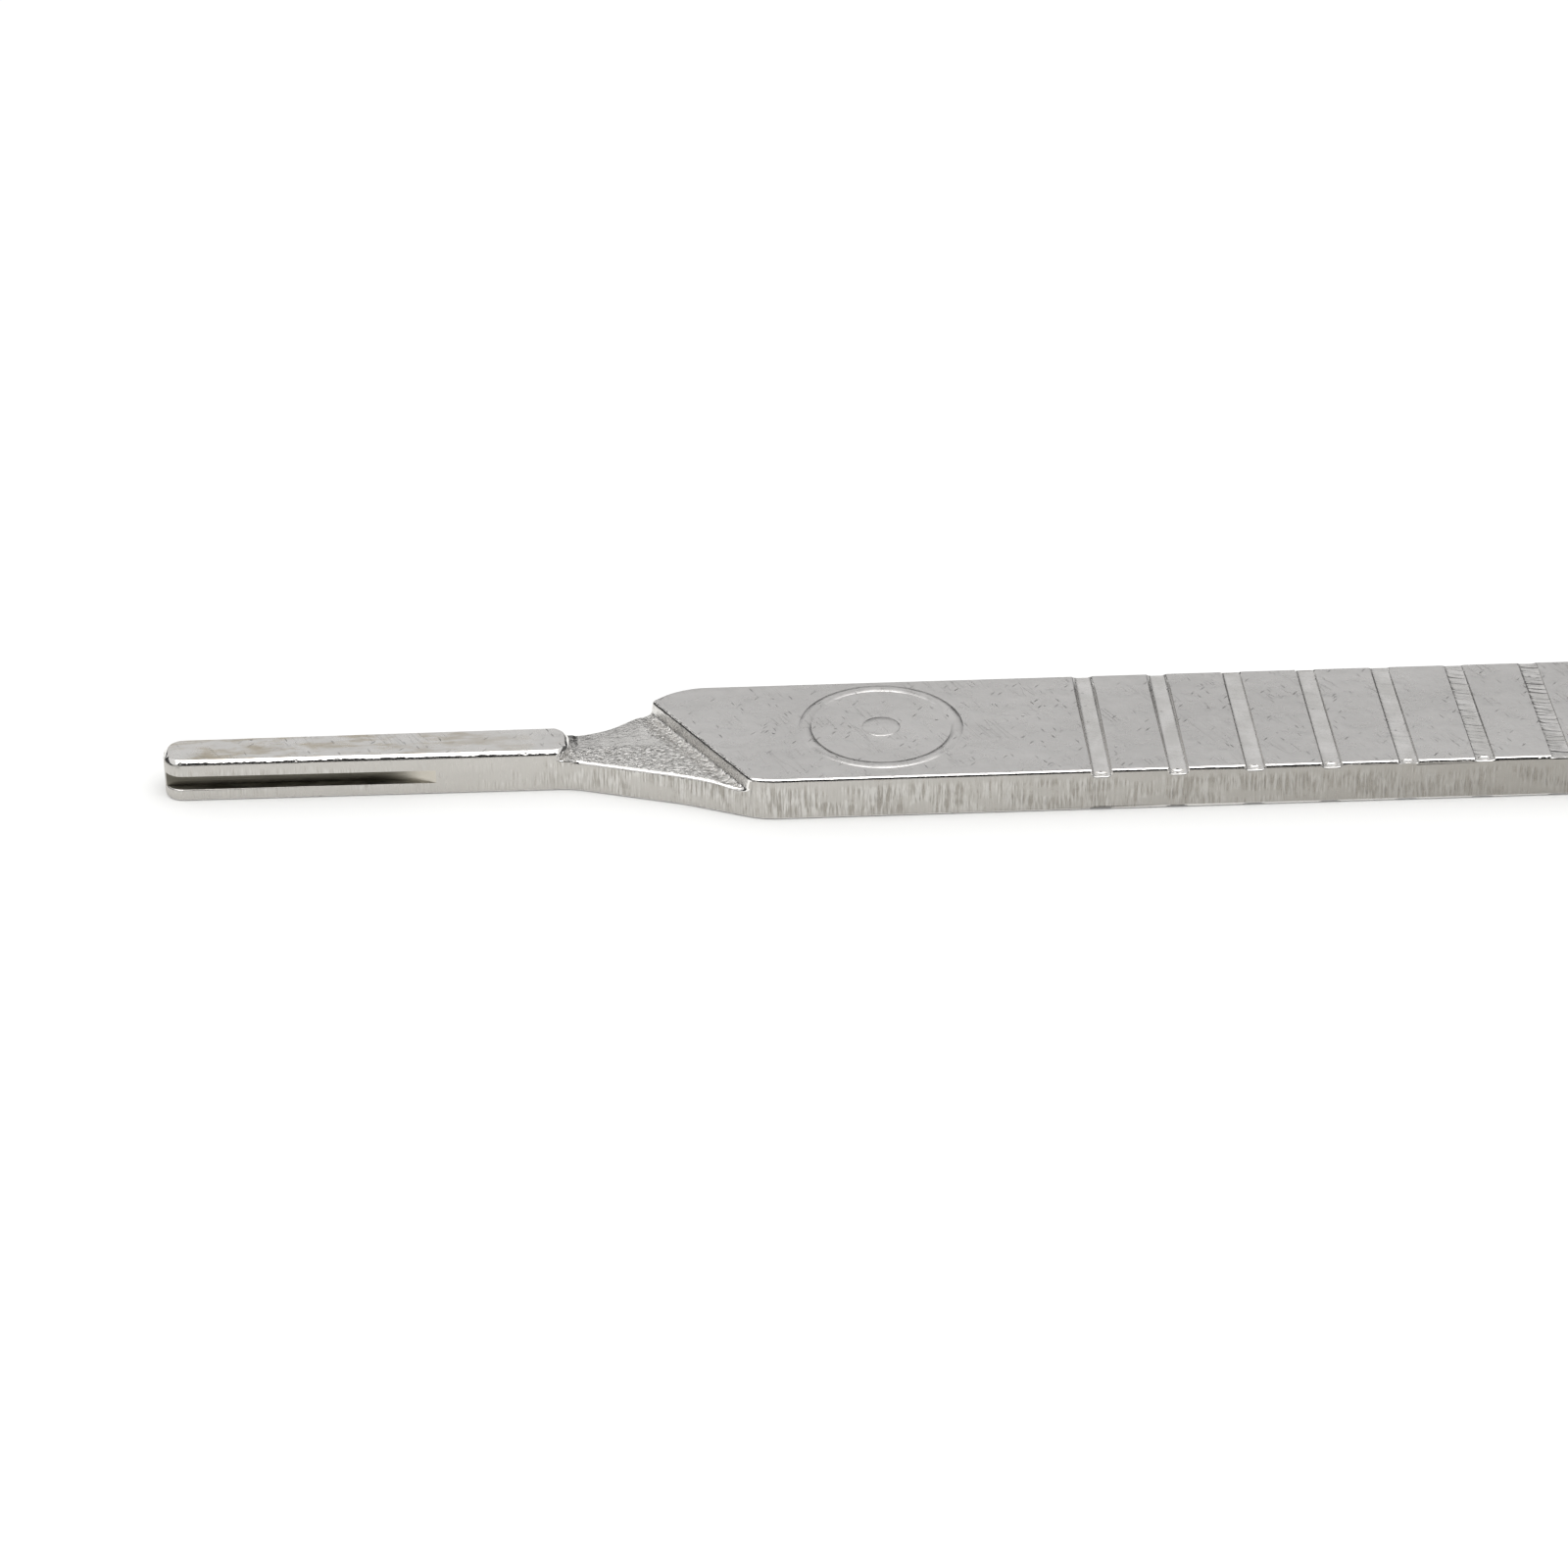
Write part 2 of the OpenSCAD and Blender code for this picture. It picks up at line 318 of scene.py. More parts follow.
def sawnSteel():
    material, tree, shader = newMaterial("sawnSteelDarkWithPaintedShade")
    drawn = placeOnMetal(tree, sawn["line"])
    lines = addNode(tree, "TexNoise", {**mottle, "Vector": drawn, "Detail": 2.0})
    stain = addNode(tree, "TexNoise", {**mottle, "Vector": placeOnMetal(tree, sawn["stain"])})
    lined = addNode(tree, "Math", [lines, 0.5], operation="MULTIPLY")
    stained = addNode(tree, "Math", [stain, 0.5], operation="MULTIPLY")
    tone = addNode(tree, "Math", [lined, stained], operation="ADD")
    amount = addNode(tree, "MapRange", [tone, 0.35, 0.65], **smooth)
    dark, light = colour(sawn["dark"]), colour(sawn["light"])
    tint = addNode(tree, "Mix", {0: amount, 6: dark, 7: light}, **inColour)

    # the back wall is painted darkest, bare steel with painted shade of the deep slot, until it runs out
    # of the side
    outward = addNode(tree, "Math", [position(tree, "Y")], operation="ABSOLUTE")
    start, full = sawn["runOut"]
    amount = addNode(tree, "MapRange", [outward, start * mm, full * mm], **smooth)
    back, plated = colour(sawn["back"]), colour(sawn["plate"])
    wall = addNode(tree, "Mix", {0: amount, 6: back, 7: plated}, **inColour)
    # painted shade and light by facing: upright walls take the dark wall tint, level walls keep the
    # lighter one
    facing = addNode(tree, "NewGeometry", [], "True Normal")
    level = addNode(tree, "SeparateXYZ", [facing], "Z")
    level = addNode(tree, "Math", [level], operation="ABSOLUTE")
    isPaintedShadeWall = addNode(tree, "Math", [level, 0.5], operation="LESS_THAN")
    tint = addNode(tree, "Mix", {0: isPaintedShadeWall, 6: tint, 7: wall}, **inColour)

    roughness = addNode(tree, "MapRange", [stain, 0.3, 0.7, *sawn["sheen"]], **smooth)
    normal = addNode(tree, "Bump", {"Height": lines, "Distance": sawn["lineDepth"] * mm,
                                    "Strength": 1.0})
    plate(tree, shader, tint, roughness, normal)
    return material


# The rolled-in grooves. They look brighter than the face, and the later ones show the roller's chatter.
rolledIn = {
    "light": "#e3e1df",
    "dark": "#d2d0cd",
    "sheen": (0.2, 0.3),
    "cloud": (1.2, 1.8, 1.2),
    "chatter": (3.0, 0.3, 3.0),
    "chatterTurn": 14,
    "chatterStretch": (-2, 14),
    "chatterDepth": 0.1,
    "dents": (0.5, 0.14, 0.3),
    "dentDepth": 0.012,
}


def rolledGroove():
    material, tree, shader = newMaterial("nickelPlateRolled")
    bands = placeOnMetal(tree, rolledIn["chatter"], rolledIn["chatterTurn"])
    chatter = addNode(tree, "TexNoise", {"Vector": bands, "Scale": 1.0, "Detail": 2.0, "Roughness": 0.5,
                                         "Distortion": 0.4})
    cloud = addNode(tree, "TexNoise", {**mottle, "Vector": placeOnMetal(tree, rolledIn["cloud"])})
    amount = addNode(tree, "MapRange", [cloud, 0.3, 0.7], **smooth)
    dark, light = colour(rolledIn["dark"]), colour(rolledIn["light"])
    tint = addNode(tree, "Mix", {0: amount, 6: dark, 7: light}, **inColour)
    roughness = addNode(tree, "MapRange", [chatter, 0.3, 0.7, *rolledIn["sheen"]], **smooth)
    start, full = rolledIn["chatterStretch"]
    later = addNode(tree, "MapRange", [position(tree, "X"), start * mm, full * mm, 0.02, 1.0], **smooth)
    height = addNode(tree, "Math", [chatter, later], operation="MULTIPLY")
    ridges = addNode(tree, "Bump", {"Height": height, "Distance": rolledIn["chatterDepth"] * mm,
                                    "Strength": 1.0})
    sunk = addNode(tree, "Math", [speckles(tree, *rolledIn["dents"]), -1.0], operation="MULTIPLY")
    normal = addNode(tree, "Bump", {"Height": sunk, "Distance": rolledIn["dentDepth"] * mm,
                                    "Strength": 1.0, "Normal": ridges})
    plate(tree, shader, tint, roughness, normal)
    return material


finishes = {
    "satin": satinNickel(),
    "sheared": shearedNickel(),
    "burnished": burnishedEdge(),
    "sawn": sawnSteel(),
    "rolled": rolledGroove(),
}
print("finishes of the bar", len(finishes))


# The handle is modelled in millimetres and brought down to metres when it is finished.
def point(fromTip, y, drop):
    # a place given as the distance from the tip, across, and down from the top face
    return Vector((barLow[0] / mm + fromTip, y, topZ - drop))


def deselectAll():
    if bpy.context.object and bpy.context.object.mode != "OBJECT":
        bpy.ops.object.mode_set(mode="OBJECT")
    bpy.ops.object.select_all(action="DESELECT")


def makeActive(piece):
    deselectAll()
    piece.select_set(True)
    bpy.context.view_layer.objects.active = piece


def editMode(piece, kind):
    makeActive(piece)
    bpy.ops.object.mode_set(mode="EDIT")
    bpy.ops.mesh.select_mode(type=kind)
    bpy.ops.mesh.select_all(action="DESELECT")
    return bmesh.from_edit_mesh(piece.data)


def pick(piece, mesh, items, test):
    # selects the vertices, edges or faces that pass the test
    for item in items:
        item.select_set(bool(test(item)))
    mesh.select_flush_mode()
    bmesh.update_edit_mesh(piece.data)


def tracedSolid(name, corners, way):
    # corners are (place, cut back, segments), drawn one by one, rounded, filled and pulled out
    deselectAll()
    bpy.ops.mesh.primitive_plane_add(size=1)
    piece = bpy.context.object
    piece.name = name
    bpy.ops.object.mode_set(mode="EDIT")
    bpy.ops.mesh.select_mode(type="VERT")
    bpy.ops.mesh.select_all(action="SELECT")
    bpy.ops.mesh.merge(type="CENTER")
    bpy.ops.transform.translate(value=corners[0][0])
    for before, after in zip(corners, corners[1:]):
        bpy.ops.mesh.extrude_vertices_move(TRANSFORM_OT_translate={"value": after[0] - before[0]})
    mesh = bmesh.from_edit_mesh(piece.data)
    ends = [v for v in mesh.verts if len(v.link_edges) == 1]
    pick(piece, mesh, mesh.verts, lambda v: v in ends)
    bpy.ops.mesh.edge_face_add()
    bpy.ops.mesh.select_all(action="SELECT")
    bpy.ops.mesh.edge_face_add()
    for place, cutBack, segments in corners:
        if cutBack:
            mesh = bmesh.from_edit_mesh(piece.data)
            nearest = min(mesh.verts, key=lambda v: (v.co - place).length)
            pick(piece, mesh, mesh.verts, lambda v: v == nearest)
            bpy.ops.mesh.bevel(offset=cutBack, segments=segments, profile=0.5, affect="VERTICES",
                               clamp_overlap=False)
    bpy.ops.mesh.select_all(action="SELECT")
    bpy.ops.mesh.remove_doubles(threshold=0.002)
    bpy.ops.mesh.select_all(action="SELECT")
    bpy.ops.mesh.extrude_region_move(TRANSFORM_OT_translate={"value": way})
    bpy.ops.mesh.select_all(action="SELECT")
    bpy.ops.mesh.normals_make_consistent(inside=False)
    bpy.ops.object.mode_set(mode="OBJECT")
    return piece


def applyModifier(piece, kind, **settings):
    makeActive(piece)
    modifier = piece.modifiers.new(kind.lower(), kind)
    for key, value in settings.items():
        setattr(modifier, key, value)
    bpy.ops.object.modifier_apply(modifier=modifier.name)


def combine(piece, tool, operation, finish=None):
    # the faces that the tool leaves behind take its finish
    if finish:
        tool.data.materials.append(finishes[finish])
    applyModifier(piece, "BOOLEAN", operation=operation, object=tool, solver="EXACT",
                  material_mode="TRANSFER")
    bpy.data.objects.remove(tool)


def giveFinish(piece, finish):
    # the selected faces take this finish
    material = finishes[finish]
    if piece.data.materials.find(material.name) < 0:
        piece.data.materials.append(material)
    piece.active_material_index = piece.data.materials.find(material.name)
    bpy.ops.object.material_slot_assign()


def bevelEdges(piece, width, segments, test, finish, corner="ARC", profile=0.5):
    # the new faces take the finish, apart from any that lie level or upright
    mesh = editMode(piece, "EDGE")
    pick(piece, mesh, mesh.edges, test)
    bpy.ops.mesh.bevel(offset=width, segments=segments, profile=profile, affect="EDGES",
                       clamp_overlap=False, miter_outer=corner, loop_slide=True)
    mesh = bmesh.from_edit_mesh(piece.data)
    pick(piece, mesh, mesh.faces, lambda f: f.select and 0.05 < abs(f.normal.z) < 0.99)
    giveFinish(piece, finish)
    bpy.ops.mesh.select_all(action="SELECT")
    bpy.ops.mesh.remove_doubles(threshold=0.004)
    bpy.ops.object.mode_set(mode="OBJECT")


def isSharp(edge, degrees=30):
    return len(edge.link_faces) == 2 and edge.calc_face_angle(0) > math.radians(degrees)


# The bar. Lengths run from the tip of the tang, drops run down from the top face.
bar = {
    "markHeight": 0.1,          # the ring and stud stand this far above the top face
    "tangTipWidth": 2.5,
    "tangRootWidth": 2.7,
    "tipRadius": 1.0,
    "tailHalfWidth": 3.33,
    "nearFlareStart": 21.3,
    "nearFlareBend": (27.14, 3.248),
    "nearFlareEnd": 31.07,
    "farFlareStart": 22.7,
    "farFlareEnd": 27.2,
    "taperStart": 90.7,
    "flareStartRadius": 4,
    "flareBendRadius": 10,
    "flareEndRadius": 3.5,
    "taperRadius": 60,
    "rimRadius": 0.2,
    "brokenEdge": 0.08,
    "brokenAbove": 40,          # a corner has to turn by more than this many degrees to be broken
    "smoothBelow": 38,          # edges that turn by less than this many degrees look smooth
}
topZ = barHigh[2] / mm - bar["markHeight"]
barLength = (barHigh[0] - barLow[0]) / mm
barThickness = topZ - barLow[2] / mm
halfGrip = (barHigh[1] - barLow[1]) / 2 / mm


def cutBackFor(radius, before, corner, after):
    # how far a rounding of this radius reaches along both sides of a corner
    half = (Vector(before) - Vector(corner)).angle(Vector(after) - Vector(corner)) / 2
    return radius / math.tan(half)


def makeBlank():
    # the plan's corners are (from the tip, across, radius, segments)
    halfTip = bar["tangTipWidth"] / 2
    halfRoot = bar["tangRootWidth"] / 2
    halfTail = bar["tailHalfWidth"]
    bendAt, bendHalf = bar["nearFlareBend"]
    flareStart, flareEnd = bar["flareStartRadius"], bar["flareEndRadius"]
    plan = [
        (0, -halfTip, bar["tipRadius"], 8),
        (bar["nearFlareStart"], -halfRoot, flareStart, 6),
        (bendAt, -bendHalf, bar["flareBendRadius"], 5),
        (bar["nearFlareEnd"], -halfGrip, flareEnd, 6),
        (bar["taperStart"], -halfGrip, bar["taperRadius"], 6),
        (barLength, -halfTail, halfTail, 14),
        (barLength, halfTail, halfTail, 14),
        (bar["taperStart"], halfGrip, bar["taperRadius"], 6),
        (bar["farFlareEnd"], halfGrip, flareEnd, 10),
        (bar["farFlareStart"], halfRoot, flareStart, 8),
        (0, halfTip, bar["tipRadius"], 8),
    ]
    corners = []
    for i, (along, across, radius, segments) in enumerate(plan):
        before, after = plan[i - 1], plan[(i + 1) % len(plan)]
        cutBack = cutBackFor(radius, before[:2], (along, across), after[:2])
        if along == barLength:
            cutBack = halfTail              # so that the tail's two roundings meet
        corners.append((point(along, across, 0), cutBack, segments))
    piece = tracedSolid("handleBar", corners, Vector((0, 0, -barThickness)))
    mesh = editMode(piece, "FACE")
    pick(piece, mesh, mesh.faces, lambda f: abs(f.normal.z) > 0.5)
    giveFinish(piece, "satin")
    bpy.ops.mesh.select_all(action="INVERT")
    giveFinish(piece, "sheared")
    bpy.ops.object.mode_set(mode="OBJECT")
    return piece


# The die that strikes the blade seat: its section is drawn square to the slanted shoulder.
seat = {
    "bossLength": 21.2,
    "bossGuardHalf": 1.45,      # a little wider than the tang, so the rear corners run out cleanly
    "bossRearRadius": 1.2,
    "bossRimRadius": 0.29,
    "bossRimProfile": 0.32,
    "drop": 0.6,
    "shoulderAt": 27.75,
    "shoulderAngle": 30,
    "wallLean": 0.08,           # how far the shoulder leans back over the drop
    "heelDrop": 0.74,
    "heelEnd": 0.62,
    "heelRise": 1.05,
    "reach": 14.0,              # of the die, both ways along the shoulder and ahead of it
    "above": 1.0,
}


def shoulderWays():
    # the directions square to the slanted shoulder and along it
    turn = math.radians(seat["shoulderAngle"])
    return Vector((-math.cos(turn), -math.sin(turn), 0)), Vector((-math.sin(turn), math.cos(turn), 0))


def aheadOfShoulder(place):
    return (place - point(seat["shoulderAt"], 0, 0)).dot(shoulderWays()[0])


# The struck seat keeps the die's rough skin. It looks crumpled and glints, most in a strip ahead of the
# shoulder and on the near side.
struck = {
    "light": "#e6e4e1",
    "dark": "#c2bfba",
    "sheen": (0.2, 0.34),
    "pit": 0.24,
    "pitDepth": 0.17,
    "strip": (1.2, 1.6),                # from the shoulder, where the glinting strip fades
    "wall": (0.05, 0.25),               # the shoulder itself is smoother up to here
    "nearSide": (0.5, -0.5),            # across the bar, where the near side's crumpling sets in
    "grain": 0.09,
    "grainDepth": 0.006,
}


def struckSteel():
    material, tree, shader = newMaterial("nickelPlateStruck")
    cells = placeOnMetal(tree, (struck["pit"],) * 3)
    crumple = addNode(tree, "TexNoise", {"Vector": cells, "Scale": 1.0, "Detail": 3.0, "Roughness": 0.6,
                                         "Distortion": 0.6})

    # how far ahead of the shoulder a place lies
    spot = addNode(tree, "TexCoord", [], "Object")
    ahead = shoulderWays()[0]
    before = addNode(tree, "VectorMath", [spot, ahead], "Value", operation="DOT_PRODUCT")
    shoulderX = barLow[0] + seat["shoulderAt"] * mm
    before = addNode(tree, "Math", [before, shoulderX * ahead.x], operation="SUBTRACT")
    start, end = struck["strip"]
    strip = addNode(tree, "MapRange", [before, start * mm, end * mm, 1.0, 0.0], **smooth)
    start, end = struck["nearSide"]
    nearSide = addNode(tree, "MapRange", [position(tree, "Y"), start * mm, end * mm], **smooth)
    rough = addNode(tree, "Math", [strip, nearSide], operation="MAXIMUM")
    rough = addNode(tree, "Math", [rough, 0.22], operation="MAXIMUM")
    start, end = struck["wall"]
    offWall = addNode(tree, "MapRange", [before, start * mm, end * mm, 0.25, 1.0], **smooth)
    rough = addNode(tree, "Math", [rough, offWall], operation="MULTIPLY")
    pits = addNode(tree, "Math", [crumple, 0.5], operation="SUBTRACT")
    pits = addNode(tree, "Math", [pits, rough], operation="MULTIPLY")

    amount = addNode(tree, "MapRange", [pits, -0.2, 0.02], **smooth)
    dark, light = colour(struck["dark"]), colour(struck["light"])
    tint = addNode(tree, "Mix", {0: amount, 6: dark, 7: light}, **inColour)
    roughness = addNode(tree, "MapRange", [crumple, 0.3, 0.7, *struck["sheen"]], **smooth)
    crumpled = addNode(tree, "Bump", {"Height": pits, "Distance": struck["pitDepth"] * mm,
                                      "Strength": 1.0})
    cells = placeOnMetal(tree, (struck["grain"],) * 3)
    grain = addNode(tree, "TexNoise", {"Vector": cells, "Scale": 1.0, "Detail": 2.0, "Roughness": 0.6})
    normal = addNode(tree, "Bump", {"Height": grain, "Distance": struck["grainDepth"] * mm,
                                    "Strength": 1.0, "Normal": crumpled})
    plate(tree, shader, tint, roughness, normal)
    return material


finishes["struck"] = struckSteel()


def strikeSeat(piece):
    ahead, along = shoulderWays()
    corner = point(seat["shoulderAt"], 0, 0) - along * seat["reach"]
    lean = seat["wallLean"]
    section = [
        (-lean * seat["above"] / seat["drop"], -seat["above"], 0),
        (lean * seat["heelDrop"] / seat["drop"], seat["heelDrop"], 0.15),
        (seat["heelEnd"], seat["heelDrop"], 0.15),
        (seat["heelRise"], seat["drop"], 0.2),
        (seat["reach"], seat["drop"], 0),
        (seat["reach"], -seat["above"], 0),
    ]
    corners = []
    for distance, drop, cutBack in section:
        place = corner + ahead * distance + Vector((0, 0, -drop))
        corners.append((place, cutBack, 3))
    die = tracedSolid("seatDie", corners, along * 2 * seat["reach"])
    side = seat["bossGuardHalf"]
    rear, cutBack = seat["bossLength"], seat["bossRearRadius"]
    guardPlan = [(-2, -side, 0), (rear, -side, cutBack), (rear, side, cutBack), (-2, side, 0)]
    guardCorners = [(point(x, y, -2), rounding, 8) for x, y, rounding in guardPlan]
    guard = tracedSolid("bossGuard", guardCorners, Vector((0, 0, -6)))
    die.data.materials.append(finishes["struck"])      # for the faces that the guard leaves alone
    combine(die, guard, "DIFFERENCE", "struck")
    combine(piece, die, "DIFFERENCE")
    rearX = point(seat["bossLength"], 0, 0).x
    bevelEdges(piece, seat["bossRimRadius"], 5,
               lambda e: isSharp(e) and all(v.co.x < rearX + 0.01 and v.co.z > topZ - 0.01
                                            for v in e.verts),
               "burnished", profile=seat["bossRimProfile"])


def isRim(edge):
    # an outer edge of the bar that isn't one of the boss's own
    bossEnd = point(seat["bossLength"] + 0.05, 0, 0).x
    bossFoot = point(0, 0, seat["drop"] + 0.1).z
    return (isSharp(edge) and edge.calc_face_angle_signed(0) > 0
            and not any(v.co.x < bossEnd and v.co.z > bossFoot for v in edge.verts))


def isBroken(edge):
    # a corner left by the saw or by the grooving roller, but not the rim of a dimple
    inset = grooves["dimpleInset"] - halfGrip
    reach = grooves["dimple"][1] + 0.02
    kinds = {f.material_index for f in edge.link_faces}
    return (isSharp(edge, bar["brokenAbove"]) and edge.calc_face_angle_signed(0) > 0 and len(kinds) == 2
            and not any(abs(v.co.y - inset) < reach for v in edge.verts))


def pressBack(piece):
    # corners that swelled past the sides when they were broken go back level with them
    for way in (-1, 1):
        mesh = editMode(piece, "VERT")
        pick(piece, mesh, mesh.verts, lambda v: v.co.y * way > halfGrip)
        bpy.ops.transform.resize(value=(1, 0, 1), center_override=(0, way * halfGrip, 0))
        bpy.ops.object.mode_set(mode="OBJECT")


# A saw runs along each side of the tang and lifts out of the metal towards the neck.
slot = {
    "height": 0.75,
    "drop": 0.95,
    "depth": 0.6,
    "length": 14.2,
    "sawRadius": 15.0,
    "side": 1.32,               # half the tang's width where the saw lifts out
    "liftSteps": 22,            # a step is one degree of the saw's rim
    "clear": (-2, 4),           # past the tip, and out from the centre line
}


def sawSlots(piece):
    radius = slot["sawRadius"]
    sawAt = slot["length"] - math.sqrt(2 * radius * slot["depth"] - slot["depth"] ** 2)
    floorY = slot["side"] - slot["depth"]
    lift = [math.radians(step) for step in range(1, slot["liftSteps"] + 1)]
    pastTip, outside = slot["clear"]
    plan = [(pastTip, outside), (pastTip, floorY), (sawAt, floorY)]
    plan += [(sawAt + radius * math.sin(t), floorY + radius * (1 - math.cos(t))) for t in lift]
    plan.append((plan[-1][0], outside))
    for way in (-1, 1):
        saw = tracedSolid("slotSaw", [(point(a, way * b, slot["drop"]), 0, 0) for a, b in plan],
                          Vector((0, 0, -slot["height"])))
        combine(piece, saw, "DIFFERENCE", "sawn")


# The grooving roller bit deeper at the near side, and less with every groove, and left a dimple.
grooves = {
    "count": 10,
    "pitch": 4.0,
    "first": 48.7,
    "profile": [(0.53, 0.0), (0.505, 0.58), (0.46, 0.8), (0.38, 0.94), (0.27, 1.0)],  # half width, depth
    "clear": (0.54, 0.6),               # half width and height of the tool above the face
    "dimple": (0.32, 0.24, 0.11),       # half its width and length, and its depth below the groove
    "dimpleInset": 0.34,
    "dimples": 6,
    "near": [0.4, 0.38, 0.28, 0.26, 0.2, 0.15, 0.12, 0.12, 0.12, 0.12],
    "far": [0.13, 0.13, 0.12, 0.12, 0.1, 0.09, 0.08, 0.08, 0.08, 0.08],
    "underNear": [0.16, 0.13, 0.1, 0.1, 0.08, 0.08, 0.08, 0.08, 0.08, 0.08],
    "underFar": 0.07,
}


def cutGrooves(piece):
    width = 2 * halfGrip
    for i in range(grooves["count"]):
        middle = grooves["first"] + i * grooves["pitch"]
        for face, up in ((0, 1), (barThickness, -1)):
            near = grooves["near"][i] if up > 0 else grooves["underNear"][i]
            far = grooves["far"][i] if up > 0 else grooves["underFar"]
            slope = (near - far) / width
            left = [(-x, near * d) for x, d in grooves["profile"]]
            right = [(x, near * d) for x, d in reversed(grooves["profile"])]
            half, above = grooves["clear"]
            section = [(-half, -above)] + left + right + [(half, -above)]
            start = -halfGrip - 1
            corners = [(point(middle + x, start, face + up * (d + slope)), 0, 0) for x, d in section]
            pull = Vector((0, width + 2, up * slope * (width + 2)))
            combine(piece, tracedSolid("grooveTool", corners, pull), "DIFFERENCE", "rolled")


def pressDimples(piece):
    across = -halfGrip + grooves["dimpleInset"]
    for i in range(grooves["dimples"]):
        deselectAll()
        bpy.ops.mesh.primitive_uv_sphere_add(segments=40, ring_count=24, radius=1)
        dimple = bpy.context.object
        bpy.ops.transform.resize(value=grooves["dimple"])
        along = grooves["first"] + i * grooves["pitch"]
        bpy.ops.transform.translate(value=point(along, across, grooves["near"][i] - 0.01))
        bpy.ops.object.transform_apply(location=True, rotation=False, scale=True)
        bpy.ops.object.shade_smooth()
        combine(piece, dimple, "DIFFERENCE", "burnished")


# The die's rough skin on the seat: the floor is cut into small cells and jostled.
skin = {
    "cell": 0.17,
    "overall": 0.006,
    "rough": 0.026,
    "strip": (0.1, 1.15),       # how far ahead of the shoulder the glinting strip lies
    "nearPatch": (1.9, -0.15),  # ahead of the shoulder by more than this, and nearer than this
    "cuts": (62, 60),           # along the seat and across it
    "slant": 0.13,              # the cuts lie this far off square
    "seed": 5,
}


def crumpleSeat(piece):
    struckIndex = piece.data.materials.find(finishes["struck"].name)

    def isFloor(face):
        return face.material_index == struckIndex and face.normal.z > 0.9

    start = point(seat["bossLength"] - 0.2, 0, 0).x
    alongCuts, acrossCuts = skin["cuts"]
    slant = skin["slant"]
    cuts = [((start + i * skin["cell"], 0, 0), (1, slant, 0)) for i in range(alongCuts)]
    cuts += [((0, -halfGrip + i * skin["cell"], 0), (-slant, 1, 0)) for i in range(acrossCuts)]
    editMode(piece, "FACE")
    for place, normal in cuts:
        mesh = bmesh.from_edit_mesh(piece.data)
        pick(piece, mesh, mesh.faces, isFloor)
        bpy.ops.mesh.bisect(plane_co=place, plane_no=normal)

    def isRough(vert):
        before = aheadOfShoulder(vert.co)
        start, end = skin["strip"]
        beyond, side = skin["nearPatch"]
        return start < before < end or (before > beyond and vert.co.y < side)

    bpy.ops.mesh.select_mode(type="VERT")
    for amount, test in ((skin["overall"], lambda v: True), (skin["rough"], isRough)):
        mesh = bmesh.from_edit_mesh(piece.data)
        pick(piece, mesh, mesh.verts, lambda v: all(isFloor(f) for f in v.link_faces) and test(v))
        bpy.ops.transform.vertex_random(offset=amount, uniform=0.3, normal=0.7, seed=skin["seed"])
    bpy.ops.object.mode_set(mode="OBJECT")


# The struck mark: a low ring round a plain stud.
mark = {
    "at": (37.6, 0.2),
    "ringRadius": 4.0,
    "ringFootHalf": 0.35,
    "studRadius": 1.0,
}


def strikeMark(piece):
    height = bar["markHeight"]
    foot = mark["ringFootHalf"]
    wire = (foot ** 2 + height ** 2) / (2 * height)     # a round wire, sunk until only this cap shows
    deselectAll()
    bpy.ops.mesh.primitive_torus_add(major_radius=mark["ringRadius"], minor_radius=wire,
                                     major_segments=128, minor_segments=64,
                                     location=point(*mark["at"], wire - height))
    combine(piece, bpy.context.object, "UNION", "satin")
    deselectAll()
    bpy.ops.mesh.primitive_uv_sphere_add(segments=64, ring_count=32, radius=mark["studRadius"],
                                         location=point(*mark["at"], 0))
    stud = bpy.context.object
    bpy.ops.transform.resize(value=(1, 1, height / mark["studRadius"]))
    bpy.ops.object.transform_apply(location=False, rotation=False, scale=True)
    combine(piece, stud, "UNION", "satin")


def makeHandle():
    piece = makeBlank()
    print("blank", len(piece.data.polygons))
    strikeSeat(piece)
    print("seat", len(piece.data.polygons))
    bevelEdges(piece, bar["rimRadius"], 4, isRim, "burnished")
    print("rims", len(piece.data.polygons))
    sawSlots(piece)
    print("slots", len(piece.data.polygons))
    cutGrooves(piece)
    pressDimples(piece)
    print("grooves", len(piece.data.polygons))
    strikeMark(piece)
    print("mark", len(piece.data.polygons))
    bevelEdges(piece, bar["brokenEdge"], 3, isBroken, "burnished", "SHARP")
    pressBack(piece)
    print("broken edges", len(piece.data.polygons))
    crumpleSeat(piece)
    print("seat skin", len(piece.data.polygons))
    makeActive(piece)
    bpy.ops.transform.resize(value=(mm, mm, mm), center_override=(0, 0, 0))
    bpy.ops.object.transform_apply(location=True, rotation=True, scale=True)
    bpy.ops.object.shade_smooth_by_angle(angle=math.radians(bar["smoothBelow"]))
    applyModifier(piece, "WEIGHTED_NORMAL", keep_sharp=True, weight=100)
    return piece


handleBar = makeHandle()

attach(handleBar, "root")
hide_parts("handle")


def plainMaterial(name, code):
    material, _, shader = newMaterial(name)
    shader.inputs["Base Color"].default_value = colour(code)
    shader.inputs["Roughness"].default_value = 0.9
    shader.inputs["Specular IOR Level"].default_value = 0.2
    return material


deselectAll()
bpy.ops.mesh.primitive_plane_add(size=6, location=(0, 0, barLow[2]))
floor = bpy.context.object
floor.name = "floor"
floor.data.materials.append(plainMaterial("paleBoard", "#f7f7f6"))

view = {
    "azimuth": -2.76,
    "elevation": 30.9,
    "roll": -0.37,
    "distance": 245.3,
    "lens": 109.24,             # on a 36 mm sensor
    "aim": (32.2, -5.37, 0.0),  # from the tip, across, and below the top face
}


